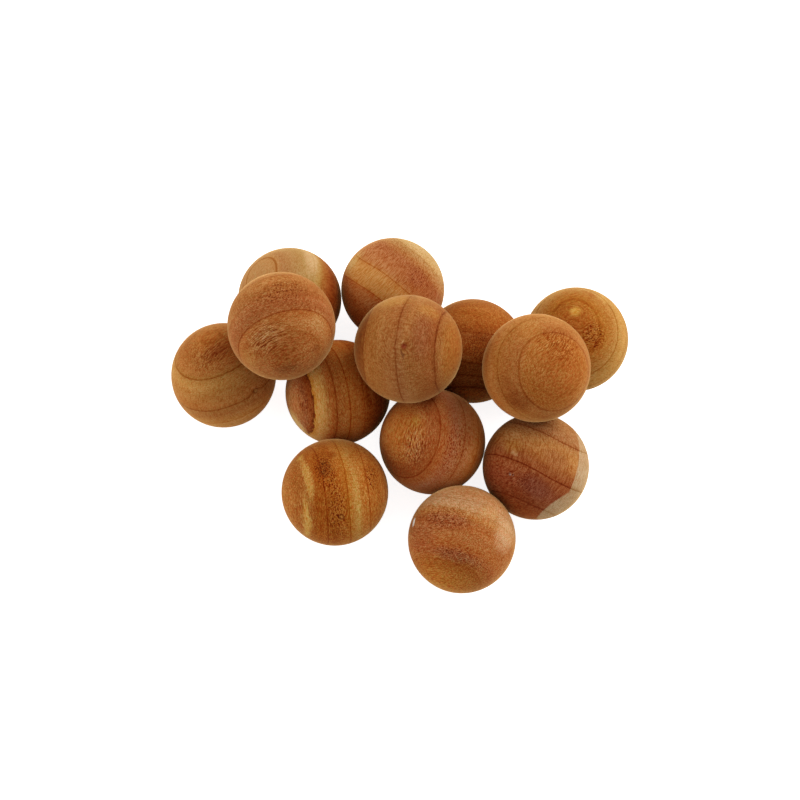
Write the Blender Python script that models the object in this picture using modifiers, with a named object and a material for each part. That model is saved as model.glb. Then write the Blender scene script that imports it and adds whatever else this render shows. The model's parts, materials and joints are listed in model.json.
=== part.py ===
"""A heap of thirteen turned cedar balls, of the kind laid among stored clothes to scent them.

Ten balls stand on the floor and lean on each other, and three lie on top, each in the hollow
between three balls below it. Every ball is a solid turning of one piece, with nothing inside.
Metres, +Z up. The origin is on the floor under the middle of the heap, +X runs along the heap's
length, and -Y is its front.
"""

import math

import bpy
from mathutils import Vector

# Sizes of one ball
BALL_DIAMETER = 0.025
REST_FLAT_DIAMETER = 0.002  # the small flat that a softwood ball stands on

# Room between the balls
REST_GAP = 0.0002  # where two balls lean on each other
INNER_SLACK = 0.0006  # further room between the inner front ball and the inner left one

# How finely a ball is turned
STEPS_ROUND = 36
STEPS_QUARTER = 9
SEAM_WELD = BALL_DIAMETER / 1000  # closes the turned skin at its seam and at both poles

BALL_RADIUS = BALL_DIAMETER / 2
REST_FLAT_RADIUS = REST_FLAT_DIAMETER / 2
REST_HEIGHT = math.sqrt(BALL_RADIUS**2 - REST_FLAT_RADIUS**2)  # from the flat to the centre
PITCH = BALL_DIAMETER + REST_GAP  # from centre to centre where two balls lean on each other

# The floor layer grows outward from this ball.
FIRST_BALL = "ball_inner_front"

# Each ball on the floor, the ball that it leans on, its bearing from that ball in degrees
# (from +X towards +Y), and the room between them beyond REST_GAP.
FLOOR_LAYER = (
    ("ball_inner_right", "ball_inner_front", 67.0, 0.0),
    ("ball_inner_left", "ball_inner_front", 151.0, INNER_SLACK),
    ("ball_right_front", "ball_inner_front", -14.5, 0.0),
    ("ball_right_back", "ball_inner_right", 7.0, 0.0),
    ("ball_back", "ball_inner_right", 140.0, 0.0),
    ("ball_back_left", "ball_back", 186.0, 0.0),
    ("ball_left", "ball_back_left", 232.0, 0.0),
    ("ball_front_left", "ball_inner_left", 269.0, 0.0),
)

# The foremost ball leans on two others, on the right-hand side of the line from first to second.
FOREMOST_BALL = ("ball_front", "ball_inner_front", "ball_right_front")

# Each ball on top, and the three that carry it
TOP_LAYER = (
    ("top_ball_left", ("ball_back_left", "ball_left", "ball_inner_left")),
    ("top_ball_middle", ("ball_inner_right", "ball_inner_front", "ball_inner_left")),
    ("top_ball_right", ("ball_inner_right", "ball_right_back", "ball_right_front")),
)

# Sanded cedar, unvarnished. No two balls come from the same board, so each has its own tone.
SANDED_ROUGHNESS = 0.6
TONES = {
    "ball_inner_front": "#A3683A",
    "ball_inner_right": "#93602F",
    "ball_inner_left": "#95612F",
    "ball_right_front": "#9C6640",
    "ball_right_back": "#A87339",
    "ball_back": "#AF7746",
    "ball_back_left": "#AC753D",
    "ball_left": "#A97440",
    "ball_front_left": "#AE733A",
    "ball_front": "#B37B47",
    "top_ball_left": "#B07547",
    "top_ball_middle": "#AE7747",
    "top_ball_right": "#B37640",
}


def clear_scene():
    for item in list(bpy.data.objects):
        bpy.data.objects.remove(item)


def linear(hex_colour):
    """The linear colour, with alpha, of an sRGB hex value."""
    channels = [int(hex_colour[i : i + 2], 16) / 255 for i in (1, 3, 5)]
    return [((c + 0.055) / 1.055) ** 2.4 if c > 0.04045 else c / 12.92 for c in channels] + [1.0]


def cedar(name, hex_colour):
    material = bpy.data.materials.new(name)
    material.use_nodes = True
    shader = material.node_tree.nodes["Principled BSDF"]
    shader.inputs["Base Color"].default_value = linear(hex_colour)
    shader.inputs["Roughness"].default_value = SANDED_ROUGHNESS
    shader.inputs["Metallic"].default_value = 0.0
    return material


def ball_profile():
    """Half of a ball's outline about its centre, from its top to the middle of its rest flat."""
    equator = math.pi / 2
    rim = math.acos(-REST_HEIGHT / BALL_RADIUS)  # the angle from the top where the flat begins
    angles = [equator * i / STEPS_QUARTER for i in range(STEPS_QUARTER)]
    angles += [equator + (rim - equator) * i / STEPS_QUARTER for i in range(STEPS_QUARTER + 1)]
    arc = [(BALL_RADIUS * math.sin(a), 0.0, BALL_RADIUS * math.cos(a)) for a in angles]
    return arc + [(0.0, 0.0, -REST_HEIGHT)]


def profile_mesh():
    points = ball_profile()
    edges = [(i, i + 1) for i in range(len(points) - 1)]
    mesh = bpy.data.meshes.new("ball_profile")
    mesh.from_pydata(points, edges, [])
    mesh.materials.append(None)
    return mesh


def turn(item):
    """Turns a profile into a closed solid about its own Z axis."""
    screw = item.modifiers.new("turned on a lathe", "SCREW")
    screw.axis = "Z"
    screw.angle = 2 * math.pi
    screw.steps = STEPS_ROUND
    screw.render_steps = STEPS_ROUND
    screw.use_merge_vertices = True
    screw.merge_threshold = SEAM_WELD
    screw.use_smooth_shade = True


def beside(neighbour, bearing, extra):
    """The centre of a ball on the floor that leans on one neighbour."""
    angle = math.radians(bearing)
    return neighbour + (PITCH + extra) * Vector((math.cos(angle), math.sin(angle), 0))


def against(first, second):
    """The centre of a ball on the floor that leans on two others, right of the line between them."""
    apart = second - first
    right = Vector((apart.y, -apart.x, 0)).normalized()
    return (first + second) / 2 + right * math.sqrt(PITCH**2 - (apart.length / 2) ** 2)


def on_top_of(first, second, third):
    """The centre of a ball that lies on three others: the higher point one pitch from each."""
    to_second = second - first
    to_third = third - first
    normal = to_second.cross(to_third)
    # The point in the plane of the three centres that is as far from each of them
    middle = (
        to_third.length_squared * normal.cross(to_second)
        + to_second.length_squared * to_third.cross(normal)
    ) / (2 * normal.length_squared)
    up = normal.normalized() if normal.z > 0 else -normal.normalized()
    return first + middle + up * math.sqrt(PITCH**2 - middle.length_squared)


def heap_centres():
    """The centre of every ball, with the origin under the middle of the heap."""
    centres = {FIRST_BALL: Vector((0, 0, REST_HEIGHT))}
    for name, neighbour, bearing, extra in FLOOR_LAYER:
        centres[name] = beside(centres[neighbour], bearing, extra)
    name, first, second = FOREMOST_BALL
    centres[name] = against(centres[first], centres[second])
    for name, carriers in TOP_LAYER:
        centres[name] = on_top_of(*(centres[carrier] for carrier in carriers))
    low = Vector(min(c[axis] for c in centres.values()) for axis in range(3))
    high = Vector(max(c[axis] for c in centres.values()) for axis in range(3))
    middle = (low + high) / 2
    return {name: c - Vector((middle.x, middle.y, 0)) for name, c in centres.items()}


def main():
    clear_scene()
    heap = bpy.data.collections.new("cedar_balls")
    bpy.context.scene.collection.children.link(heap)
    profile = profile_mesh()
    for name, centre in heap_centres().items():
        ball = bpy.data.objects.new(name, profile)
        ball.location = centre
        heap.objects.link(ball)
        turn(ball)
        # The balls share one mesh, so each ball's own tone is held by the object.
        ball.material_slots[0].link = "OBJECT"
        ball.material_slots[0].material = cedar(name, TONES[name])


main()
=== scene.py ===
# %% [markdown]
# # A heap of cedar balls
#
# Thirteen plain balls of aromatic cedar, of the kind laid among stored clothes. Each was sawn
# from a board as a small block, turned to a ball and sanded, and nothing was put on it after.
# So the whole look comes from the wood: where in the log each block lay, how the fibres meet the
# round surface, and how the sandpaper left it. This lesson works from that, one ball at a time.

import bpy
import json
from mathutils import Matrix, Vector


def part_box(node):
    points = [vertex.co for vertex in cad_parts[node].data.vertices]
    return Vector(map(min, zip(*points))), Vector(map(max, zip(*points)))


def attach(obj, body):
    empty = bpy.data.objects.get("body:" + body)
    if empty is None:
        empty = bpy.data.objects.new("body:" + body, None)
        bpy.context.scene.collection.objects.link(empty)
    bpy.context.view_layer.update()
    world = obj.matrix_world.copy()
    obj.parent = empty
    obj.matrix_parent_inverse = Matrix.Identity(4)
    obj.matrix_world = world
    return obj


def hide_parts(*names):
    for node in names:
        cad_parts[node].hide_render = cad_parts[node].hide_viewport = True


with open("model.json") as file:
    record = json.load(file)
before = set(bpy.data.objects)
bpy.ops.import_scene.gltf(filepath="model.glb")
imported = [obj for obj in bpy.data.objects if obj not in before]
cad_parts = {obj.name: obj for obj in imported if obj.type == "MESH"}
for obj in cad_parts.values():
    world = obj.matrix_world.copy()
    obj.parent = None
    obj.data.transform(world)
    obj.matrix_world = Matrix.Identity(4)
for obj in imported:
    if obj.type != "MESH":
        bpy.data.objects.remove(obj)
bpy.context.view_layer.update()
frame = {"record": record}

# %% [markdown]
# ## Units
#
# Blender works in metres, and wood is easier to think about in millimetres. Every size below is
# in millimetres, and MM turns it to metres, apart from the floor's and the lamps', which are in
# metres. Colours are written as hex values, as a paint chart gives them, and one function turns
# them to the linear values that a renderer mixes.

# %% Millimetres and colours
import json
import math
from dataclasses import dataclass

import bpy
from mathutils import Matrix, Vector

MM = 0.001


def linear(hex_colour):
    """The linear colour, with alpha, of an sRGB hex value."""
    channels = [int(hex_colour[i : i + 2], 16) / 255 for i in (1, 3, 5)]
    return [((c + 0.055) / 1.055) ** 2.4 if c > 0.04045 else c / 12.92 for c in channels] + [1.0]


print("cedar heartwood #A5652F in linear light:", [round(c, 3) for c in linear("#A5652F")])

# %% [markdown]
# ## One round skin
#
# A ball could be a UV sphere, but its squares crowd at the poles, and a fine surface pattern
# shows that. Here a cube is cut into squares and each point is pushed out to the radius. The
# squares stay nearly the same size all over, and the six sides unwrap as six flat squares, which
# gives a neat map for baking. A tangent spaces the cuts so that those near a cube's edge aren't
# squeezed.
#
# The balls touch each other, so the skin's radius is half the distance from centre to centre,
# plus the little that the sanded relief takes off again further down.

# %% Cutting the cube
BALL_RADIUS = 12.65
FLAT_RADIUS = 1.0  # the spot that a ball of soft wood stands on
STAND_HEIGHT = math.sqrt(BALL_RADIUS**2 - FLAT_RADIUS**2)
CUTS = 100  # squares along a side of the cube, 0.2 mm each
UNWRAP_MARGIN = 0.01

# Each side of the cube: the way it faces, then the ways its columns and rows run
CUBE_SIDES = (
    ((1, 0, 0), (0, 1, 0), (0, 0, 1)),
    ((-1, 0, 0), (0, -1, 0), (0, 0, 1)),
    ((0, 1, 0), (-1, 0, 0), (0, 0, 1)),
    ((0, -1, 0), (1, 0, 0), (0, 0, 1)),
    ((0, 0, 1), (1, 0, 0), (0, 1, 0)),
    ((0, 0, -1), (1, 0, 0), (0, -1, 0)),
)


def ball_skin():
    """A ball about its own centre, standing on a small flat, made of nearly even squares."""
    steps = [math.tan((i / CUTS - 0.5) * math.pi / 2) for i in range(CUTS + 1)]
    numbers = {}
    points = []
    squares = []
    unwrapped = []
    for side, (out, across, up) in enumerate(CUBE_SIDES):
        out, across, up = Vector(out), Vector(across), Vector(up)
        grid = []
        for b in steps:
            row = []
            for a in steps:
                point = (out + a * across + b * up).normalized() * BALL_RADIUS
                point.z = max(point.z, -STAND_HEIGHT)
                # Neighbouring sides share the points along their common edge.
                key = tuple(round(value, 4) for value in point)
                if key not in numbers:
                    numbers[key] = len(points)
                    points.append(point * MM)
                row.append(numbers[key])
            grid.append(row)
        # The six sides lie in the map as three columns and two lines.
        column, line = side % 3, side // 3
        for i in range(CUTS):
            for j in range(CUTS):
                corners = ((i, j), (i, j + 1), (i + 1, j + 1), (i + 1, j))
                squares.append([grid[r][c] for r, c in corners])
                for r, c in corners:
                    u = UNWRAP_MARGIN + (1 - 2 * UNWRAP_MARGIN) * c / CUTS
                    v = UNWRAP_MARGIN + (1 - 2 * UNWRAP_MARGIN) * r / CUTS
                    unwrapped.append(((column + u) / 3, (line + v) / 2))
    skin = bpy.data.meshes.new("ball_skin")
    skin.from_pydata(points, [], squares)
    unwrap = skin.uv_layers.new(name="OFBake")
    for corner, uv in zip(unwrap.data, unwrapped):
        corner.uv = uv
    skin.polygons.foreach_set("use_smooth", [True] * len(skin.polygons))
    return skin


SKIN = ball_skin()
print("one ball's skin:", len(SKIN.vertices), "points and", len(SKIN.polygons), "squares")

# %% [markdown]
# ## Nodes, written short
#
# Both the relief and the colour of the wood are node trees, and one helper builds them. It adds
# a node, sets its properties, and fills each socket with a value or with a link from another
# node. A colour ramp's stops are a property like any other.

# %% Adding a node
def add(tree, kind, inputs=(), stops=(), **settings):
    """Adds a node with its settings and links, and returns it."""
    item = tree.nodes.new(kind)
    for name, value in settings.items():
        setattr(item, name, value)
    for socket, value in dict(inputs).items():
        if isinstance(value, bpy.types.NodeSocket):
            tree.links.new(value, item.inputs[socket])
        else:
            item.inputs[socket].default_value = value
    for number, (position, colour) in enumerate(stops):
        stop = item.color_ramp.elements[number] if number < 2 else item.color_ramp.elements.new(1)
        stop.position = position
        stop.color = colour
    return item


# %% [markdown]
# ## What a block of wood knows
#
# A tree's growth rings are tubes round its pith, and its fibres run along them. A block sawn
# from the log cuts those tubes, and turning it to a ball cuts them again along a curve. So three
# things fix the whole figure of a ball: which way the bark lay, which way the fibres run, and
# how far off the pith is. The rings then follow from arithmetic on every side of the ball, also
# where no eye has looked.
#
# Each ball is turned so that its own X axis points to the bark and its own Z axis runs along the
# fibres. A place on it is then (towards the bark, across, along the fibres), in millimetres.

# %% The block's own axes
@dataclass
class Wood:
    """One ball's piece of cedar. Places and sizes are in its own axes, in mm."""

    bark: tuple  # the way to the bark, in the heap's axes
    fibres: tuple  # the way the fibres run, in the heap's axes
    pith: float  # from the ball's middle to the pith
    seed: float  # shifts the patterns, so that no two balls are alike
    # On a few balls some tones are painted light and painted shade: lighter on a side that the heap
    # shades, darker where shade falls.
    tones_with_painted_light_and_shade: tuple  # (depth towards the bark, colour) from the pith side to the bark side
    rings: tuple  # (depth, darkness) of each late-summer line
    # A few blots are painted shade: dark patches where a ball hangs over its neighbours.
    # The places of these three are told by ring depth, so that they bend with the rings.
    blots_and_painted_shade: tuple = ()  # (place, half-sizes, colour, strength) of patches of another tone
    stipple: tuple = ()  # (place, half-sizes, strength) where pores show as dark dots
    torn: tuple = ()  # (place, half-sizes, strength) where the cutter tore the fibres
    knots: tuple = ()  # (place, radius, colour of the heart) of pin knots
    chips: tuple = ()  # (place, half-sizes) of small bruises
    sapwood: tuple = ()  # (facing, distance) of the flat sides of a piece of sapwood
    figure: float = 0.35  # how far the broad cloudy tones depart from the mean
    grain: float = 1.0  # how strongly the fine grain shows
    rays: float = 0.2  # how strongly the rays show, which cross the grain
    stroke: tuple = (0.15, 0.2, 1.8)  # sizes of a torn stroke: by ring depth, across, along


def block_axes(wood):
    """The rotation from a ball's own axes, bark, across and fibres, to the heap's."""
    x = Vector(wood.bark).normalized()
    z = Vector(wood.fibres)
    z = (z - z.dot(x) * x).normalized()
    y = z.cross(x)
    return Matrix((x, y, z)).transposed().to_4x4()


# %% [markdown]
# ## Patterns along the grain
#
# Almost nothing in wood is as wide as it is long. A pattern's patches are given by their size
# towards the bark, across and along the fibres. Where the surface runs with the fibres the
# patches show as streaks, and where it cuts across them they show as dots, as real pores do.
#
# Every pattern adds a number of its own to the ball's seed, so that no two fall together.

# %% Mottles, marks and areas
def mottle(tree, place, sizes, shift, detail=1.0):
    """A cloudy pattern from 0 to 1, whose patches have these sizes in mm in the ball's axes."""
    scaled = add(
        tree,
        "ShaderNodeVectorMath",
        {0: place, 1: [1 / size for size in sizes], 2: [shift] * 3},
        operation="MULTIPLY_ADD",
    )
    return add(
        tree, "ShaderNodeTexNoise", {"Vector": scaled.outputs[0], "Scale": 1.0, "Detail": detail}
    )


MARK_EDGE = (0.42, 0.68)  # from the cloud's plain part to a mark's full strength


def marks(tree, place, sizes, shift, detail=1.0, edge=MARK_EDGE):
    """Dark marks of these sizes, 1 in their middles, that cover about a third of the surface."""
    cloud = mottle(tree, place, sizes, shift, detail)
    plain, full = edge
    return add(
        tree,
        "ShaderNodeMapRange",
        {"Value": cloud.outputs[0], "From Min": plain, "From Max": full},
        interpolation_type="SMOOTHSTEP",
    ).outputs["Result"]


def area(tree, place, centre, sizes, soft=0.5):
    """1 inside an egg of these half-sizes round a place, and 0 outside, with a soft edge."""
    scaled = add(
        tree,
        "ShaderNodeVectorMath",
        {0: place, 1: [1 / s for s in sizes], 2: [-c / s for c, s in zip(centre, sizes)]},
        operation="MULTIPLY_ADD",
    )
    far = add(tree, "ShaderNodeVectorMath", {0: scaled.outputs[0]}, operation="LENGTH")
    return add(
        tree,
        "ShaderNodeMapRange",
        {"Value": far.outputs["Value"], "From Min": 1.0, "From Max": 1.0 - soft},
        interpolation_type="SMOOTHSTEP",
    ).outputs["Result"]


def within(tree, pattern, place, centre, sizes, soft=0.5):
    """A pattern, or one number, kept inside such an egg, and 0 outside."""
    mask = area(tree, place, centre, sizes, soft)
    return add(tree, "ShaderNodeMath", {0: mask, 1: pattern}, operation="MULTIPLY").outputs[0]


def layered(tree, start, layers):
    """The start plus every layer's pattern times its amount."""
    total = start
    for pattern, amount in layers:
        total = add(
            tree,
            "ShaderNodeMath",
            {0: pattern, 1: amount, 2: total},
            operation="MULTIPLY_ADD",
        ).outputs[0]
    return total


print("a mark is at its full strength from", MARK_EDGE[1], "of its cloud on")

# %% [markdown]
# ## Ring depth
#
# A ring is a circle about the pith, so a place's distance from the pith tells its ring. A real
# tree is less exact: its rings sway, and they swell round the base of a twig. Both are added
# here, and everything that follows the rings reads this one depth.

# %% How far towards the bark
RING_SWAY = 0.7  # how far, in mm, the rings wander from a true circle
SWAY_MM = (9, 9, 24)  # the size of one such bend
KNOT_BULGE = 0.9  # how far, in mm, a pin knot pushes the rings aside
KNOT_REACH = 3  # how far out it does, as a number of its own radii


def bark_depth(tree, place, wood):
    """How far a place lies towards the bark from the ball's middle, along the rings' radius."""
    sway = mottle(tree, place, SWAY_MM, wood.seed)
    centred = add(
        tree,
        "ShaderNodeVectorMath",
        {0: sway.outputs[1], 1: [RING_SWAY] * 3, 2: [-RING_SWAY / 2] * 3},
        operation="MULTIPLY_ADD",
    )
    swayed = add(tree, "ShaderNodeVectorMath", {0: place, 1: centred.outputs[0]}, operation="ADD")
    from_pith = add(
        tree,
        "ShaderNodeVectorMath",
        {0: swayed.outputs[0], 1: (1, 1, 0), 2: (wood.pith, 0, 0)},
        operation="MULTIPLY_ADD",
    )
    radius = add(tree, "ShaderNodeVectorMath", {0: from_pith.outputs[0]}, operation="LENGTH")
    depth = add(
        tree, "ShaderNodeMath", {0: radius.outputs["Value"], 1: wood.pith}, operation="SUBTRACT"
    ).outputs[0]
    bulges = [
        (area(tree, place, centre, [KNOT_REACH * size] * 3, soft=1.0), KNOT_BULGE)
        for centre, size, _ in wood.knots
    ]
    return layered(tree, depth, bulges)


print("a ring sways by", RING_SWAY / 2, "mm to either side")

# %% [markdown]
# ## Growth rings
#
# In spring a cedar lays down pale, loose wood. Over the summer the wood grows denser and darker,
# and ends in a thin line before the next pale spring. So a ring isn't a stripe with two equal
# edges: towards the bark it darkens slowly, then snaps back to pale. A colour ramp over the
# depth holds that saw-tooth. The depth runs from one side of the ball to the other, 26 mm.

# %% The saw-tooth of the rings
DEPTH_SPAN = 26.0
SUMMER_WIDTH = 1.2  # the slow darkening before a line
SUMMER_DARKNESS = 0.15  # how far it gets, as a share of the line's darkness
LINE_WIDTH = 0.17  # the line itself, about as thin as one pixel shows
LINE_CORE = 0.4  # half the width of its darkest part, as a share of the line's
SPRING_SNAP = 0.2  # from the line to the clean pale wood after it


def ramp_position(depth):
    return min(max(depth / DEPTH_SPAN + 0.5, 0.0), 1.0)


def ring_stops(rings):
    """The darkness of the wood over its depth, as the stops of a colour ramp."""
    stops = []
    for depth, dark in rings:
        for offset, value in (
            (-SUMMER_WIDTH, 0.0),
            (-LINE_WIDTH, SUMMER_DARKNESS * dark),
            (-LINE_CORE * LINE_WIDTH, dark),
            (LINE_CORE * LINE_WIDTH, dark),
            (SPRING_SNAP, 0.0),
        ):
            stops.append((ramp_position(depth + offset), [value] * 3 + [1.0]))
    return sorted(stops, key=lambda stop: stop[0])


def over_depth(tree, depth, stops):
    """The colour that a ramp over the whole ball has at this depth."""
    position = add(
        tree,
        "ShaderNodeMath",
        {0: depth, 1: 1 / DEPTH_SPAN, 2: 0.5},
        operation="MULTIPLY_ADD",
    )
    return add(tree, "ShaderNodeValToRGB", {0: position.outputs[0]}, stops=stops).outputs[0]


def ring_darkness(tree, depth, wood):
    """0 in clean spring wood and up to each ring's darkness on its line."""
    return over_depth(tree, depth, ring_stops(wood.rings))


print("stops for one ring at 2 mm:", [round(p, 3) for p, _ in ring_stops([(2, 1)])])

# %% [markdown]
# ## Grain that follows the rings
#
# Within a year's ring the cells lie in sheets, a week's growth in each, and a sheet is as curved
# as its ring. So the fine grain of a ball runs beside its ring lines, also where those make
# loops. To draw it, the distance towards the bark is swapped for the ring depth: a pattern that
# is thin in its first number then comes out as thin curved marks.
#
# A cutter that meets the fibres badly tears some of them out, and sanding doesn't reach the
# bottom of every tear. How the strokes run depends on the cut, so each ball gives their size in
# three directions. Where they are thin only by ring depth they curve with the rings. Where they
# are thin only across they run straight, with the fibres. The strokes are cut into the relief
# and darken the colour, both from the same pattern, so the two always fall together.

# %% Sheets and torn strokes
SHEET_MM = (0.12, 0.45, 1.2)  # sheets of cells; a real one is thinner than the render can show
STROKE_EDGE = (0.48, 0.64)  # a tear has a crisper rim than other marks


def grain_place(tree, place, depth):
    """A place told by its ring depth, its distance across and its distance along the fibres."""
    parts = add(tree, "ShaderNodeSeparateXYZ", {0: place}).outputs
    return add(tree, "ShaderNodeCombineXYZ", {0: depth, 1: parts[1], 2: parts[2]}).outputs[0]


def sheets(tree, grain, wood):
    return marks(tree, grain, SHEET_MM, wood.seed + 2.0)


def torn_strokes(tree, grain, wood):
    """0 on the sanded surface, and up to 1 in the bottom of a torn stroke."""
    return marks(tree, grain, wood.stroke, wood.seed + 3.0, detail=0.0, edge=STROKE_EDGE)


print("sheets of cells are drawn", SHEET_MM[0], "mm thick")

# %% [markdown]
# ## The relief
#
# These forms are in the mesh, not only painted: a ball that is a hair out of round, summer wood
# that stands proud because the sandpaper bites less into it, torn strokes, chips and the dimple
# of a pin knot. A sculpted or a displaced mesh would do. Geometry nodes are chosen because they
# run the same patterns as the colour, from the same numbers. Everything cuts inwards, so two
# touching balls never run into each other.

# %% Cutting the relief
# How deep each form is cut, in mm
OUT_OF_ROUND = 0.10
SUMMER_RELIEF = 0.02
STROKE_RELIEF = 0.015
SHEET_RELIEF = 0.012
CHIP_DEPTH = 0.35
KNOT_DIMPLE = 0.10
LUMP_MM = (11, 11, 13)  # the size of a high or low place on a ball that is out of round


def relief(name, wood):
    """A geometry node group that cuts one ball's surface inwards."""
    tree = bpy.data.node_groups.new(name, "GeometryNodeTree")
    tree.interface.new_socket("Geometry", in_out="INPUT", socket_type="NodeSocketGeometry")
    tree.interface.new_socket("Geometry", in_out="OUTPUT", socket_type="NodeSocketGeometry")
    position = add(tree, "GeometryNodeInputPosition")
    place = add(
        tree,
        "ShaderNodeVectorMath",
        {0: position.outputs[0], "Scale": 1 / MM},
        operation="SCALE",
    ).outputs[0]
    depth = bark_depth(tree, place, wood)
    grain = grain_place(tree, place, depth)
    spring = add(
        tree, "ShaderNodeMath", {0: 1.0, 1: ring_darkness(tree, depth, wood)}, operation="SUBTRACT"
    )
    cuts = [
        (mottle(tree, place, LUMP_MM, wood.seed + 1.0).outputs[0], OUT_OF_ROUND),
        (spring.outputs[0], SUMMER_RELIEF),
        (sheets(tree, grain, wood), SHEET_RELIEF),
    ]
    if wood.torn:
        strokes = torn_strokes(tree, grain, wood)
    for centre, sizes, strength in wood.torn:
        cuts.append((within(tree, strokes, grain, centre, sizes), STROKE_RELIEF * strength))
    for centre, sizes in wood.chips:
        cuts.append((area(tree, place, centre, sizes, soft=0.7), CHIP_DEPTH))
    for centre, size, _ in wood.knots:
        cuts.append((area(tree, place, centre, [size] * 3, soft=0.8), KNOT_DIMPLE))
    total = layered(tree, 0.0, [(pattern, -amount * MM) for pattern, amount in cuts])
    normal = add(tree, "GeometryNodeInputNormal")
    offset = add(
        tree, "ShaderNodeVectorMath", {0: normal.outputs[0], "Scale": total}, operation="SCALE"
    )
    start = add(tree, "NodeGroupInput")
    moved = add(
        tree, "GeometryNodeSetPosition", {"Geometry": start.outputs[0], "Offset": offset.outputs[0]}
    )
    add(tree, "NodeGroupOutput", {0: moved.outputs[0]})
    return tree


print("the deepest cut is a chip's,", CHIP_DEPTH, "mm")

# %% [markdown]
# ## The wood's colour, with some painted light and shade
#
# Within one ball cedar goes from tan to rose and brown, and where two tones meet, bundles of
# fibres run over the border and fray it. A painted map would show one side of that. A colour
# ramp over the ring depth takes the tones round the whole ball instead. On a few balls some
# tones are also painted light and painted shade: lighter on a side that the heap shades, and
# darker where shade falls. Stains, sapwood, knots and chips come after, as patches that lie
# over the tones, and two dark patches on the top right ball are painted shade.

# %% Tones and patches
FRAY_MM = (0.7, 0.7, 3.0)  # bundles of fibres, which fray the edges of tones
RAGGED = 0.7  # how far they do, in mm
SAPWOOD = "#B08C64"
SAPWOOD_EDGE = (-0.1, 0.15)  # how far the border is blurred, in mm before and behind it
KNOT_RIM = "#864A20"
KNOT_RIM_SIZE = 1.25  # the radius of the coloured rim, as a share of the knot's
KNOT_HEART_SIZE = 0.85
CHIP_FACE = "#F4EEE2"
MIX_FACTOR, MIX_A, MIX_B, MIX_OUT = 0, 6, 7, 2  # the colour sockets of a Mix node


def tone_with_painted_light_and_shade(tree, place, grain, depth, wood, fray):
    """The wood's colour, before rings, pores and strokes darken or lighten it, with painted light
    and shade in some tones and patches.
    """
    shift = add(
        tree, "ShaderNodeMath", {0: fray, 1: 2 * RAGGED, 2: -RAGGED}, operation="MULTIPLY_ADD"
    ).outputs[0]
    ragged = add(tree, "ShaderNodeMath", {0: depth, 1: shift}, operation="ADD").outputs[0]
    stops = [(ramp_position(at), linear(colour)) for at, colour in wood.tones_with_painted_light_and_shade]
    tone = over_depth(tree, ragged, stops)
    frayed = add(tree, "ShaderNodeVectorMath", {0: grain, 1: shift}, operation="ADD").outputs[0]
    # Each patch of another colour lies over the ones before it.
    patches = []
    for centre, sizes, colour, strength in wood.blots_and_painted_shade:
        patches.append((within(tree, strength, frayed, centre, sizes, soft=0.7), colour))
    for facing, distance in wood.sapwood:
        beyond = add(tree, "ShaderNodeVectorMath", {0: place, 1: facing}, operation="DOT_PRODUCT")
        start, end = (distance + blur for blur in SAPWOOD_EDGE)
        mask = add(
            tree,
            "ShaderNodeMapRange",
            {"Value": beyond.outputs["Value"], "From Min": start, "From Max": end},
        )
        patches.append((mask.outputs[0], SAPWOOD))
    for centre, size, heart in wood.knots:
        for share, colour in ((KNOT_RIM_SIZE, KNOT_RIM), (KNOT_HEART_SIZE, heart)):
            patches.append((area(tree, place, centre, [share * size] * 3, soft=0.6), colour))
    for centre, sizes in wood.chips:
        patches.append((area(tree, place, centre, sizes, soft=0.4), CHIP_FACE))
    for mask, colour in patches:
        tone = add(
            tree,
            "ShaderNodeMix",
            {MIX_FACTOR: mask, MIX_A: tone, MIX_B: linear(colour)},
            data_type="RGBA",
        ).outputs[MIX_OUT]
    return tone


print("sapwood is", SAPWOOD, "and the rim of a knot", KNOT_RIM)

# %% [markdown]
# ## Pigment
#
# Cedar takes its colour from one pigment in its cell walls, and denser wood simply holds more of
# it. That is why the dark lines of cedar aren't grey: more of a brown filter is redder as well
# as darker. In the shader a Gamma node does that. It raises each channel to a power, the
# density, which is 1 for plain wood, more on a summer line or in a pore, and less in a pale
# streak.

# %% How dense the wood is
FIGURE_MM = (2.2, 9.0, 14.0)  # soft bands, some weeks of growth wide
RAY_MM = (1.8, 0.15, 0.6)  # rays run from pith to bark, and cross the sheets
SPECK_MM = (0.16, 0.16, 0.2)  # the nap that sandpaper raises
PORE_MM = (0.2, 0.2, 0.5)  # pores are finer; drawn as coarse as they need to be to show

# How much pigment each form adds, where plain wood holds 1
GRAIN_PIGMENT = 0.32  # a sheet of cells, or a speck
LINE_PIGMENT = 0.55  # a summer line of full darkness
PIT_PIGMENT = 1.1  # a torn stroke, with its shade
PIT_PALENESS = 0.2  # the fibres left standing beside it are paler by this share of that
PORE_EDGE = (0.56, 0.68)  # only the cloud's peaks reach it, because pores are few


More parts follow.
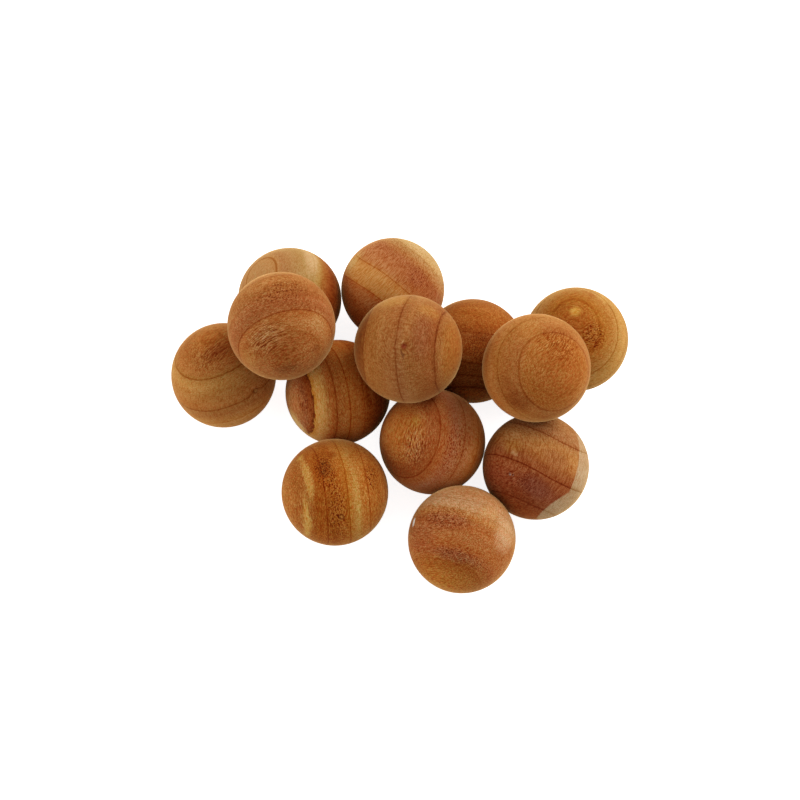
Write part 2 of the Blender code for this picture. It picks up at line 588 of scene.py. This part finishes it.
def cedar_density(tree, place, grain, rings, wood):
    """How much pigment the wood holds at each place: 1 is plain wood."""
    figure = mottle(tree, grain, FIGURE_MM, wood.seed + 4.0).outputs[0]
    fine = [
        (sheets(tree, grain, wood), GRAIN_PIGMENT * wood.grain),
        (marks(tree, place, RAY_MM, wood.seed + 5.0), wood.rays),
        (marks(tree, place, SPECK_MM, wood.seed + 6.0), GRAIN_PIGMENT * wood.grain),
    ]
    # The figure has a mean of a half and the marks of a third, so the mean density stays at 1.
    plain = 1.0 - wood.figure / 2 - sum(amount for _, amount in fine) / 3
    layers = [(figure, wood.figure)] + fine + [(rings, LINE_PIGMENT)]
    if wood.stipple:
        pores = marks(tree, place, PORE_MM, wood.seed + 7.0, detail=0.0, edge=PORE_EDGE)
    for centre, sizes, strength in wood.stipple:
        layers.append((within(tree, pores, grain, centre, sizes, soft=0.6), strength))
    if wood.torn:
        strokes = add(
            tree,
            "ShaderNodeMath",
            {0: torn_strokes(tree, grain, wood), 1: PIT_PALENESS},
            operation="SUBTRACT",
        ).outputs[0]
    for centre, sizes, strength in wood.torn:
        pits = within(tree, strokes, grain, centre, sizes, soft=0.8)
        layers.append((pits, PIT_PIGMENT * strength))
    return layered(tree, plain, layers)


print("a full summer line holds", 1 + LINE_PIGMENT, "times the pigment of plain wood")

# %% [markdown]
# ## Aromatic red cedar, sanded, bare
#
# Nothing covers this wood, so it is rough to the light and has hardly any gloss. The dense lines
# take a little more polish from the same paper. Sanding also raises a nap of fibre ends, too
# fine to model: a small bump stands for its height, and a sheen for the light that it catches.

# %% The cedar material
CEDAR_IOR = 1.53  # cellulose
CEDAR_SPECULAR = 0.02  # open pores swallow most of the gleam of a filled surface
SANDED_ROUGHNESS = 0.8
SUMMER_ROUGHNESS = 0.7
FLECK_MM = (0.14, 0.5, 0.7)  # some sheets hold more red pigment than others
FLECK_TINT = (-0.25, 0.8, 0.9)  # how far the sheets' red, green and blue spread
NAP_HEIGHT = 0.015  # dense wood and pores lie this much lower than the raised nap, in mm
NAP_STRENGTH = 0.6  # how much of that the shading shows
NAP_GLOW = 0.7  # the light that the nap catches along the ball's edge
NAP_TINT = "#FFD890"
NAP_SPREAD = 0.3  # how far in from the edge that glow reaches


def sanded_cedar(name, wood):
    """Aromatic red cedar, turned, sanded and left bare."""
    material = bpy.data.materials.new(name)
    material.use_nodes = True
    tree = material.node_tree
    shader = tree.nodes["Principled BSDF"]
    here = add(tree, "ShaderNodeTexCoord").outputs["Object"]
    place = add(
        tree, "ShaderNodeVectorMath", {0: here, "Scale": 1 / MM}, operation="SCALE"
    ).outputs[0]
    depth = bark_depth(tree, place, wood)
    grain = grain_place(tree, place, depth)
    fray = mottle(tree, place, FRAY_MM, wood.seed + 9.0, detail=2.0).outputs[0]
    rings = ring_darkness(tree, depth, wood)
    tone = tone_with_painted_light_and_shade(tree, place, grain, depth, wood, fray)
    density = cedar_density(tree, place, grain, rings, wood)
    filtered = add(tree, "ShaderNodeGamma", {"Color": tone, "Gamma": density})
    flecks = mottle(tree, grain, FLECK_MM, wood.seed + 8.0).outputs[0]
    hue = add(
        tree,
        "ShaderNodeVectorMath",
        {
            0: flecks,
            1: [wood.grain * part for part in FLECK_TINT],
            2: [1 - wood.grain * part / 2 for part in FLECK_TINT],
        },
        operation="MULTIPLY_ADD",
    )
    colour = add(
        tree,
        "ShaderNodeVectorMath",
        {0: filtered.outputs[0], 1: hue.outputs[0]},
        operation="MULTIPLY",
    )
    tree.links.new(colour.outputs[0], shader.inputs["Base Color"])
    gloss = add(
        tree,
        "ShaderNodeMapRange",
        {"Value": rings, "To Min": SANDED_ROUGHNESS, "To Max": SUMMER_ROUGHNESS},
    )
    tree.links.new(gloss.outputs[0], shader.inputs["Roughness"])
    nap = add(
        tree,
        "ShaderNodeBump",
        {"Strength": NAP_STRENGTH, "Distance": NAP_HEIGHT * MM, "Height": density},
        invert=True,
    )
    tree.links.new(nap.outputs[0], shader.inputs["Normal"])
    shader.inputs["Metallic"].default_value = 0.0
    shader.inputs["IOR"].default_value = CEDAR_IOR
    shader.inputs["Specular IOR Level"].default_value = CEDAR_SPECULAR
    shader.inputs["Sheen Weight"].default_value = NAP_GLOW
    shader.inputs["Sheen Roughness"].default_value = NAP_SPREAD
    shader.inputs["Sheen Tint"].default_value = linear(NAP_TINT)
    return material


# %% [markdown]
# ## From a block to a ball in the heap
#
# One function now makes a whole ball: it copies the skin, lays the block's axes in it, cuts the
# relief, gives it its cedar, and sets it where the frame holds that ball. The frame's ball is
# then left out of the picture, because this one stands for it.

# %% Turning one ball
BODY_OF = {
    node: body
    for body, nodes in frame["record"]["behaviour"]["bodies"].items()
    for node in nodes
}


def cedar_ball(node, wood):
    low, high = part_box(node)
    centre = Vector(((low.x + high.x) / 2, (low.y + high.y) / 2, low.z + STAND_HEIGHT * MM))
    axes = block_axes(wood)
    skin = SKIN.copy()
    skin.name = f"{node}_wood"
    # The skin stands on its flat, so it is turned back before the ball is turned to its block.
    skin.transform(axes.inverted())
    ball = bpy.data.objects.new(f"{node}_wood", skin)
    bpy.context.scene.collection.objects.link(ball)
    ball.matrix_world = Matrix.Translation(centre) @ axes
    skin.materials.append(sanded_cedar(f"sanded cedar, {node}", wood))
    cut = ball.modifiers.new("relief", "NODES")
    cut.node_group = relief(f"relief, {node}", wood)
    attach(ball, BODY_OF[node])
    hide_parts(node)
    print(f"{node}: {len(wood.rings)} rings, centre at {[round(v / MM, 1) for v in centre]} mm")


# %% [markdown]
# ## The inner front ball
#
# Golden wood lies left of its first ring, with strokes torn along the fibres. Right of the ring
# the wood turns rose, and the pores show as fine dots.

# %% Inner front
cedar_ball(
    "ball_inner_front",
    Wood(
        bark=(0.65, 0.08, -0.75),
        fibres=(0.17, 0.95, 0.25),
        pith=60,
        seed=11.3,
        tones_with_painted_light_and_shade=(
            (-12.6, "#BA7230"),
            (-11.2, "#AE6428"),
            (-9.6, "#A05424"),
            (-8.0, "#AA5E2C"),
            (-6.4, "#B4642E"),
            (-4.0, "#B66C40"),
            (-2.0, "#BA7442"),
            (0.0, "#BE7640"),
            # These two tones, towards the bark and on the right as seen, are partly painted light:
            # lighter, to lift the shade that the balls beside it cast there.
            (3.0, "#C87834"),
            (13.0, "#AC6628"),
        ),
        rings=((-7.6, 0.8), (-1.3, 0.6), (3.3, 0.5), (8.6, 0.6)),
        blots_and_painted_shade=(((-11.5, -4.0, 3.0), (1.6, 2.0, 2.4), "#B87C30", 0.6),),
        stipple=(((-3.2, -10.8, -1.9), (4.4, 7.0, 9.0), 0.8),),
        torn=(((-10.8, -4.0, -2.6), (4.2, 6.0, 7.5), 1.0),),
        stroke=(0.4, 0.13, 1.4),
    ),
)

# %% [markdown]
# ## The inner right ball
#
# Most of it lies in shade under its neighbours. One broad, soft edge parts orange wood above
# from brown wood below, and darker bands run level across the lower half. The brown below is
# partly painted shade.

# %% Inner right
cedar_ball(
    "ball_inner_right",
    Wood(
        bark=(0.0, -0.98, -0.20),
        fibres=(0.60, 0.15, 0.78),
        pith=50,
        seed=23.7,
        tones_with_painted_light_and_shade=(
            (-12.6, "#924C18"),
            (-6.5, "#98521A"),
            (-3.5, "#924A16"),
            (-2.0, "#8A4414"),
            (-0.5, "#8C4618"),
            (1.5, "#9C521C"),
            (4.0, "#9C541E"),
            # From here to 10.5 mm, low on the ball as seen, the dark tones are partly painted shade
            # from the balls above.
            (6.0, "#804014"),
            (10.5, "#784018"),
            (11.8, "#A45A20"),
            (12.6, "#B47230"),
        ),
        rings=((-1.5, 0.4), (5.6, 0.5), (8.2, 0.6), (10.4, 0.6)),
        stipple=(((1.9, -6.5, 10.5), (4.5, 5.0, 4.0), 0.9),),
    ),
)

# %% [markdown]
# ## The inner left ball
#
# This block held the border of the heartwood. A red cap of heartwood ends in a frayed edge on
# the left, and cream sapwood follows it before the wood turns brown again. Towards the right,
# under the top middle ball, that brown is partly painted shade.

# %% Inner left
cedar_ball(
    "ball_inner_left",
    Wood(
        bark=(0.85, 0.35, -0.39),
        fibres=(-0.12, 0.85, 0.51),
        pith=45,
        seed=37.1,
        tones_with_painted_light_and_shade=(
            (-12.6, "#B0703C"),
            (-11.2, "#94522A"),
            (-10.4, "#90481C"),
            (-9.95, "#883E14"),
            (-9.8, "#6E2C0A"),
            (-9.65, "#702E0A"),
            (-9.5, "#C07C2C"),
            (-8.6, "#CC9650"),
            (-7.4, "#C48C48"),
            # From here towards the bark the tones are partly painted shade, deepest on the right as
            # seen, under the top middle ball.
            (-6.3, "#B0642A"),
            (-5.0, "#A45A22"),
            (-1.5, "#B86A28"),
            (1.0, "#B06022"),
            (2.6, "#984C16"),
            (5.0, "#843C10"),
            (13.0, "#803A10"),
        ),
        rings=((-5.1, 0.7), (-2.1, 0.8), (1.6, 0.4), (6.5, 0.6)),
        blots_and_painted_shade=(
            ((-11.0, 1.5, -6.0), (3.4, 3.4, 6.5), "#D4AC68", 0.9),
            ((-6.7, -9.3, 0.0), (0.7, 3.0, 7.0), "#A46424", 0.5),
        ),
        stipple=(((-11.5, -4.2, 1.0), (1.8, 2.6, 5.0), 0.7),),
        figure=0.4,
    ),
)

# %% [markdown]
# ## The right front ball
#
# The rings cross it slantwise, drawn strongly. A wedge of sapwood cuts off its right-hand edge
# with two straight sides, and the wood beside it is nearly purple.

# %% Right front
cedar_ball(
    "ball_right_front",
    Wood(
        bark=(-0.33, -0.92, -0.22),
        fibres=(0.63, -0.37, 0.68),
        pith=45,
        seed=41.9,
        tones_with_painted_light_and_shade=(
            (-12.6, "#9C6634"),
            (-7.2, "#986236"),
            (-6.2, "#985E32"),
            (-5.2, "#9E6634"),
            (-3.0, "#AE743C"),
            (-1.0, "#A4642E"),
            (1.4, "#945026"),
            (2.6, "#965028"),
            (4.6, "#944C26"),
            (6.6, "#8C4424"),
            (9.4, "#8A4422"),
            (13.0, "#984818"),
        ),
        rings=((-6.0, 0.8), (3.0, 1.0), (9.8, 0.6)),
        blots_and_painted_shade=(
            ((1.5, -11.8, 4.4), (1.0, 1.1, 1.1), "#BC8C5C", 0.7),
            ((6.2, -6.5, 9.2), (3.6, 6.5, 5.0), "#783824", 0.7),
            ((-0.2, -11.8, 3.0), (3.0, 3.5, 3.0), "#B07430", 0.5),
            ((-2.7, -12.0, 1.8), (2.5, 3.0, 3.5), "#B8824A", 0.5),
            ((-1.6, -5.0, 11.0), (2.8, 5.0, 5.0), "#8C4C28", 0.45),
        ),
        stipple=(((5.8, -9.0, 6.5), (5.0, 5.0, 5.0), 0.4),),
        chips=(
            ((4.8, -10.9, 4.2), (0.35, 0.4, 0.35)),
            ((4.8, -10.6, 4.9), (0.3, 0.35, 0.25)),
        ),
        sapwood=(((-0.06, 0.96, 0.27), 4.5), ((0.61, 0.49, 0.63), 10.7)),
        grain=0.7,
        rays=0.35,
    ),
)

# %% [markdown]
# ## The right back ball
#
# Its rings lie nearly flat to the eye, so they show as wide loops. A pale spot, a small whorl
# and flecks of dark fibre fill the middle.

# %% Right back
cedar_ball(
    "ball_right_back",
    Wood(
        bark=(-0.09, -0.10, 0.99),
        fibres=(0.90, 0.20, 0.10),
        pith=30,
        seed=53.3,
        tones_with_painted_light_and_shade=(
            (-13.0, "#A06428"),
            (2.0, "#AC7838"),
            (5.0, "#B88440"),
            (7.4, "#B28040"),
            (9.0, "#A86E30"),
            (11.0, "#A46422"),
            (12.6, "#9C541C"),
        ),
        rings=((3.8, 0.4), (7.7, 0.8), (11.1, 0.4)),
        blots_and_painted_shade=(
            ((12.2, -3.2, 0.8), (1.6, 1.7, 2.1), "#C89440", 0.8),
            ((9.2, -7.3, 5.9), (1.4, 1.3, 1.3), "#A05A20", 0.7),
            ((7.7, -6.2, 8.3), (1.6, 2.2, 1.4), "#C89C50", 0.4),
            ((11.3, -5.2, -2.2), (1.8, 1.2, 3.0), "#905018", 0.5),
            ((11.0, 5.4, 3.4), (1.5, 2.6, 2.6), "#985018", 0.7),
        ),
        stipple=(((11.4, 3.5, 3.6), (2.5, 4.5, 4.0), 0.9),),
        torn=(((11.4, 2.5, 3.6), (2.5, 4.0, 4.0), 0.5),),
        grain=0.75,
    ),
)

# %% [markdown]
# ## The back ball
#
# A tan band runs between two rings, with orange wood above it and dark wood below. The orange
# towards the pith, low on the left as seen, is partly painted light. Fine cross strokes are the
# wood's rays, seen where the surface cuts the fibres' ends.

# %% Back
cedar_ball(
    "ball_back",
    Wood(
        bark=(0.71, 0.64, 0.30),
        fibres=(0.18, -0.57, 0.80),
        pith=30,
        seed=61.9,
        tones_with_painted_light_and_shade=(
            # These three tones towards the pith, low on the left as seen, are partly painted light:
            # lighter, to lift the shade of the top middle ball.
            (-13.0, "#A85E24"),
            (-6.0, "#B46830"),
            (-3.6, "#BC6E34"),
            (-2.8, "#C88640"),
            (0.0, "#C88A46"),
            (1.8, "#C48646"),
            (2.8, "#B06C38"),
            (5.0, "#A86234"),
            (7.5, "#9C582E"),
            (8.8, "#A46836"),
            (10.0, "#AA7A46"),
            (11.0, "#B88E56"),
            (12.6, "#BC9A66"),
        ),
        rings=((-3.3, 0.8), (2.2, 0.7), (10.3, 0.3)),
        blots_and_painted_shade=(
            ((6.2, 1.1, 10.9), (3.0, 3.4, 3.0), "#A05830", 0.6),
            ((0.5, 12.2, 1.0), (4.0, 2.5, 4.0), "#CCA460", 0.6),
        ),
        stipple=(((6.4, 0.6, 10.6), (4.0, 4.5, 4.0), 0.7),),
        torn=(((1.6, 2.5, 12.0), (6.0, 6.0, 4.0), 0.25),),
        grain=0.45,
        rays=0.4,
    ),
)

# %% [markdown]
# ## The back left ball
#
# Mostly hidden under the top ball. Its crescent goes from tan through a cream band to a dark red
# edge, which is partly painted shade from the balls beside and above it.

# %% Back left
cedar_ball(
    "ball_back_left",
    Wood(
        bark=(0.54, -0.14, -0.83),
        fibres=(0.20, 0.98, -0.03),
        pith=30,
        seed=71.7,
        tones_with_painted_light_and_shade=(
            (-12.6, "#B48450"),
            (-11.2, "#B27E48"),
            (-10.4, "#A67242"),
            (-7.0, "#AA804A"),
            (-3.4, "#AE8A50"),
            (-2.2, "#AC8244"),
            (-0.6, "#9A5E28"),
            # From here to the bark side, low on the right as seen, the dark red is partly painted
            # shade from the balls beside and above.
            (1.0, "#8A4418"),
            (3.0, "#823A10"),
            (13.0, "#7C360C"),
        ),
        rings=((-11.3, 0.8), (-3.6, 0.35), (4.4, 0.5)),
        blots_and_painted_shade=(((-4.0, -9.0, 7.6), (2.6, 8.0, 8.0), "#CCA87C", 0.6),),
        grain=0.4,
    ),
)

# %% [markdown]
# ## The left ball
#
# Four rings cross it like smiles. A pin knot, the base of a twig no thicker than a needle, sits
# on its right.

# %% Left
cedar_ball(
    "ball_left",
    Wood(
        bark=(0.19, -0.46, -0.87),
        fibres=(0.71, 0.67, -0.20),
        pith=60,
        seed=83.1,
        tones_with_painted_light_and_shade=(
            (-12.6, "#AE6C30"),
            (-10.8, "#9C5A24"),
            (-8.6, "#A6642C"),
            (-7.4, "#A87034"),
            (-5.8, "#B67E3E"),
            (-3.5, "#AC7034"),
            (-0.4, "#AE6C32"),
            (0.8, "#A86C34"),
            (2.4, "#AC6C34"),
            (4.6, "#BC7C3A"),
            (5.8, "#C68642"),
            (13.0, "#B07030"),
        ),
        rings=((-12.4, 0.35), (-7.3, 0.8), (0.5, 0.8), (5.3, 0.6)),
        blots_and_painted_shade=(((-11.2, -4.4, -1.8), (2.0, 3.5, 4.5), "#904820", 0.5),),
        torn=(((-10.7, -3.5, -4.0), (4.5, 6.0, 8.0), 0.5),),
        knots=(((-1.4, -12.5, 0.0), 0.8, "#A8743C"),),
        grain=0.8,
        stroke=(0.6, 0.16, 1.8),
    ),
)

# %% [markdown]
# ## The front left ball
#
# The liveliest of the heap: upright streaks of cream in orange wood, a dark stippled patch near
# the top and a small whorl low in the middle.

# %% Front left
cedar_ball(
    "ball_front_left",
    Wood(
        bark=(0.94, 0.28, -0.20),
        fibres=(-0.10, 0.70, 0.70),
        pith=60,
        seed=97.3,
        tones_with_painted_light_and_shade=(
            (-12.6, "#A46024"),
            (-10.8, "#9C5820"),
            (-8.2, "#9A561E"),
            (-6.6, "#9C5014"),
            (-4.6, "#9C5014"),
            (-2.8, "#9E5416"),
            (-0.6, "#AC6220"),
            (1.2, "#B27028"),
            (2.6, "#B0722E"),
            (4.6, "#AC6624"),
            (6.4, "#A86222"),
            (8.0, "#A05A1C"),
            (13.0, "#9C541C"),
        ),
        rings=((-4.4, 0.7), (0.8, 0.7), (5.8, 0.7), (10.5, 0.5)),
        blots_and_painted_shade=(
            ((-7.5, -7.4, 8.0), (1.3, 12.0, 7.0), "#C08C40", 0.8),
            ((-8.8, -7.4, -2.0), (1.2, 12.0, 9.0), "#C08C40", 0.9),
            ((2.9, -11.5, 0.0), (1.2, 12.0, 14.0), "#BC8840", 0.9),
            ((-7.3, 1.0, 10.1), (1.2, 1.4, 1.4), "#BC8838", 0.6),
            ((-3.4, -6.6, 9.8), (2.2, 4.6, 2.4), "#78340C", 0.6),
            ((-0.9, -4.2, 11.8), (1.6, 2.0, 1.6), "#8C420C", 0.6),
        ),
        stipple=(
            ((-3.4, -6.6, 9.6), (3.2, 7.0, 5.0), 1.5),
            ((7.0, -8.6, 6.2), (2.4, 4.0, 4.0), 1.3),
            ((-1.8, -11.6, 0.0), (3.2, 5.0, 12.0), 1.0),
        ),
        knots=(((-2.5, -12.3, -0.4), 0.8, "#A86828"),),
        grain=1.2,
    ),
)

# %% [markdown]
# ## The front ball
#
# Two wide bands of purple cross it, and its right-hand edge is cream. A chip on its left shows
# the pale wood under the surface.

# %% Front
cedar_ball(
    "ball_front",
    Wood(
        bark=(0.38, 0.91, -0.08),
        fibres=(0.70, -0.30, 0.65),
        pith=45,
        seed=103.7,
        tones_with_painted_light_and_shade=(
            (-12.8, "#AA621C"),
            (-9.8, "#A05A20"),
            (-8.2, "#A45E28"),
            (-6.6, "#A85C2A"),
            (-5.2, "#AC622C"),
            (-2.6, "#A05A28"),
            (-0.8, "#AA6430"),
            (0.5, "#A46230"),
            (1.8, "#AE7038"),
            (3.4, "#B07C4C"),
            (5.6, "#B08054"),
            (7.6, "#B07848"),
            (13.0, "#B4763C"),
        ),
        rings=((-9.0, 0.3), (-0.6, 0.3), (3.0, 0.3), (6.0, 0.3)),
        blots_and_painted_shade=(
            ((0.0, 11.0, 4.5), (3.0, 6.0, 8.0), "#905034", 0.45),
            ((-7.4, 6.0, 6.0), (1.8, 8.0, 8.0), "#8C5034", 0.45),
            ((2.4, -0.6, 12.4), (6.0, 5.0, 2.4), "#C8A074", 0.5),
            ((4.7, 5.5, 10.4), (3.0, 4.0, 2.6), "#C0884C", 0.4),
            ((-4.8, 11.2, -2.0), (7.0, 5.0, 7.0), "#884626", 0.45),
        ),
        stipple=(
            ((0.6, 11.0, 4.0), (3.8, 7.0, 9.0), 0.8),
            ((-6.8, 5.0, 8.0), (2.6, 11.0, 8.0), 0.8),
        ),
        chips=(((-2.4, 11.0, -5.8), (1.5, 0.8, 0.8)),),
        grain=1.2,
    ),
)

# %% [markdown]
# ## The top left ball
#
# The ring arches over it. Below the arch the cutter tore a patch of fibres, and the wood above
# it is rose and finely stippled.

# %% Top left
cedar_ball(
    "top_ball_left",
    Wood(
        bark=(-0.19, 0.87, -0.45),
        fibres=(0.92, 0.31, 0.22),
        pith=50,
        seed=113.9,
        tones_with_painted_light_and_shade=(
            (-12.6, "#9A5422"),
            (-11.0, "#9E5C2A"),
            (-9.0, "#A0602C"),
            (-6.6, "#A4622E"),
            (-5.6, "#96562A"),
            (-3.4, "#98562A"),
            (0.0, "#9C5E2C"),
            (4.5, "#A4642C"),
            (13.0, "#A05C28"),
        ),
        rings=((-10.2, 0.2), (-6.1, 0.8), (-1.1, 0.35), (5.0, 0.6)),
        blots_and_painted_shade=(
            ((-7.6, 3.4, 9.3), (3.2, 4.0, 3.0), "#B08048", 0.4),
            ((-9.0, 2.0, -8.6), (3.4, 3.4, 3.4), "#AC7438", 0.4),
            ((-12.1, -2.4, -1.6), (1.8, 3.0, 4.5), "#783C18", 0.6),
            ((-10.8, -1.0, 6.2), (1.4, 1.4, 2.0), "#804018", 0.5),
        ),
        stipple=(((-0.8, 10.6, 4.0), (4.5, 5.0, 9.0), 0.8),),
        torn=(((-9.6, 7.0, -3.0), (4.5, 7.0, 8.0), 0.8),),
        stroke=(0.1, 1.6, 2.4),
    ),
)

# %% [markdown]
# ## The top middle ball
#
# Its rings stand upright, thin and even. A knot's edge was sliced and left a small chip with a
# pale rim.

# %% Top middle
cedar_ball(
    "top_ball_middle",
    Wood(
        bark=(0.98, -0.14, 0.11),
        fibres=(0.12, 0.97, 0.19),
        pith=50,
        seed=127.1,
        tones_with_painted_light_and_shade=(
            (-12.6, "#8E4A18"),
            (-8.6, "#864618"),
            (-7.6, "#9A5C26"),
            (-5.0, "#9C602A"),
            (-0.4, "#9C6030"),
            (0.8, "#94582C"),
            (2.6, "#A06634"),
            (4.4, "#9A5E2C"),
            (7.6, "#965628"),
            (8.4, "#8A4C22"),
            (9.4, "#965C2A"),
            (10.6, "#9C6028"),
            (13.0, "#98541C"),
        ),
        rings=((-8.2, 0.6), (0.5, 0.65), (3.4, 0.15), (8.4, 0.55)),
        blots_and_painted_shade=(
            ((-2.4, -7.6, 9.4), (6.0, 3.5, 3.0), "#BC8840", 0.4),
            ((6.1, -8.6, 7.4), (4.0, 3.0, 3.0), "#BC843C", 0.3),
            ((2.6, -12.5, -0.9), (0.5, 0.7, 0.8), "#BC8C58", 0.9),
            ((2.3, -12.0, -3.6), (0.45, 1.2, 2.0), "#744020", 0.8),
            ((5.4, -10.6, 1.0), (3.6, 5.0, 8.0), "#884828", 0.6),
        ),
        knots=(((0.9, -12.4, -1.9), 0.95, "#843C20"),),
        grain=0.75,
    ),
)

# %% [markdown]
# ## The top right ball
#
# The bark lay towards the eye, so the rings show as two loops, one inside the other, with torn
# fibres across the inner one.

# %% Top right
cedar_ball(
    "top_ball_right",
    Wood(
        bark=(0.38, -0.42, 0.82),
        fibres=(0.69, 0.72, 0.05),
        pith=50,
        seed=139.3,
        tones_with_painted_light_and_shade=(
            (-13.0, "#A45E24"),
            (1.5, "#AE682C"),
            (3.6, "#AC6C30"),
            (4.6, "#A4662A"),
            (5.8, "#A2622A"),
            (8.8, "#A0602C"),
            (10.0, "#A25E24"),
            (12.6, "#A45E26"),
        ),
        rings=((-4.5, 0.5), (0.5, 0.5), (4.6, 0.5), (9.1, 0.55), (11.4, 0.15)),
        blots_and_painted_shade=(
            ((7.6, -10.2, 2.5), (4.0, 3.0, 4.5), "#B87C38", 0.3),
            # These two dark patches, low on the left as seen, are painted shade where the ball
            # hangs over its neighbours.
            ((7.2, 0.0, -10.4), (3.5, 4.0, 5.0), "#804014", 0.7),
            ((5.6, -3.0, -10.6), (5.0, 7.5, 5.0), "#7C3A14", 0.4),
        ),
        stipple=(((10.5, -2.2, 4.5), (4.0, 7.0, 7.0), 0.2),),
        torn=(((11.0, -5.0, 5.3), (4.0, 8.0, 8.0), 0.55),),
        grain=0.8,
        stroke=(1.2, 0.15, 1.8),
    ),
)

# %% [markdown]
# ## A white table
#
# The balls lie on plain white. A sheet a few metres wide is floor enough, and a white world
# stands for the rest of a bright room. To the camera and to reflections the floor gets a little
# light of its own, so that it comes out as white as the paper under a product photograph, while
# the soft shadow under the heap stays.

# %% What looks straight at a surface
def seen_straight(tree):
    """1 for a ray from the camera, from a gloss or through glass, and 0 for any other."""
    rays = add(tree, "ShaderNodeLightPath").outputs
    seen = rays["Is Camera Ray"]
    for kind in ("Is Glossy Ray", "Is Transmission Ray"):
        seen = add(tree, "ShaderNodeMath", {0: seen, 1: rays[kind]}, operation="MAXIMUM").outputs[0]
    return seen


# %% Floor
FLOOR_WIDTH = 6.0
FLOOR_LIFT = 0.85  # the light of its own, where 1 is white
PAPER = "#F2F2F2"
PAPER_ROUGHNESS = 0.9
PAPER_SPECULAR = 0.1  # uncoated paper hardly gleams

floor_skin = bpy.data.meshes.new("floor")
half = FLOOR_WIDTH / 2
floor_skin.from_pydata(
    [(-half, -half, 0), (half, -half, 0), (half, half, 0), (-half, half, 0)], [], [(0, 1, 2, 3)]
)
floor = bpy.data.objects.new("floor", floor_skin)
bpy.context.scene.collection.objects.link(floor)
floor_paint = bpy.data.materials.new("matt white paper")
floor_paint.use_nodes = True
paper = floor_paint.node_tree
paper_shader = paper.nodes["Principled BSDF"]
paper_shader.inputs["Base Color"].default_value = linear(PAPER)
paper_shader.inputs["Roughness"].default_value = PAPER_ROUGHNESS
paper_shader.inputs["Specular IOR Level"].default_value = PAPER_SPECULAR
lift = add(paper, "ShaderNodeMath", {0: seen_straight(paper), 1: FLOOR_LIFT}, operation="MULTIPLY")
paper_shader.inputs["Emission Color"].default_value = (1, 1, 1, 1)
paper.links.new(lift.outputs[0], paper_shader.inputs["Emission Strength"])
floor_skin.materials.append(floor_paint)
print("floor", FLOOR_WIDTH, "m wide")

# %% [markdown]
# ## Light
#
# The photograph's light is soft, and two sides of every ball are paler than the rest. So there
# are two softboxes: a low one on the left, and a stronger one higher up, on the right and a
# little behind. A white world, about half as bright as the one the camera sees, fills the shade.
# Together they light an open surface at about one, so that a colour shows about as it is
# written.

# %% World and lamps
WORLD_LIGHT = 0.5  # what the world gives to the heap, where 1 is the white that the camera sees
# Name, place in metres, width and height in metres, power in watts
SOFTBOXES = (
    ("low softbox, left", Vector((-1.0, 0.1, 0.28)), 1.5, 0.5, 8.0),
    ("high softbox, right", Vector((0.8, 0.48, 0.6)), 0.9, 0.6, 11.6),
)

world = bpy.data.worlds.new("bright room")
bpy.context.scene.world = world
world.use_nodes = True
room = world.node_tree
background = room.nodes["Background"]
background.inputs["Color"].default_value = (1, 1, 1, 1)
strength = add(
    room, "ShaderNodeMapRange", {"Value": seen_straight(room), "To Min": WORLD_LIGHT, "To Max": 1.0}
)
room.links.new(strength.outputs[0], background.inputs["Strength"])

for name, place, width, height, watts in SOFTBOXES:
    softbox = bpy.data.lights.new(name, "AREA")
    softbox.shape = "RECTANGLE"
    softbox.size = width
    softbox.size_y = height
    softbox.energy = watts
    lamp = bpy.data.objects.new(name, softbox)
    lamp.location = place
    lamp.rotation_euler = (-place).to_track_quat("-Z", "Y").to_euler()
    bpy.context.scene.collection.objects.link(lamp)
    print(name, "stands", round(place.length, 2), "m from the heap")

# %% [markdown]
# ## The camera
#
# The photograph looks down steeply on the heap from its front. The angle, the distance and the
# lens were worked out from the thirteen round outlines: how far each is from its neighbours, how
# much larger the top balls look, and how one hides another.

# %% Camera
CAMERA_ELEVATION = 69.1  # degrees above the floor
CAMERA_DISTANCE = 534.7
CAMERA_AIM = Vector((-0.1, 7.8, 0.0))
CAMERA_LENS = 98.05
FILM_WIDTH = 36.0
CAMERA_NEAR = 10.0  # nothing nearer than this is drawn

tilt = math.radians(90 - CAMERA_ELEVATION)
camera_data = bpy.data.cameras.new("camera")
camera_data.lens = CAMERA_LENS
camera_data.sensor_width = FILM_WIDTH
camera_data.clip_start = CAMERA_NEAR * MM
camera = bpy.data.objects.new("camera", camera_data)
back = Vector((0, -math.sin(tilt), math.cos(tilt)))
camera.location = (CAMERA_AIM + back * CAMERA_DISTANCE) * MM
camera.rotation_euler = (tilt, 0, 0)
bpy.context.scene.collection.objects.link(camera)
bpy.context.scene.camera = camera
bpy.context.scene.view_settings.view_transform = "Standard"
print("camera at", [round(v, 3) for v in camera.location], "m")
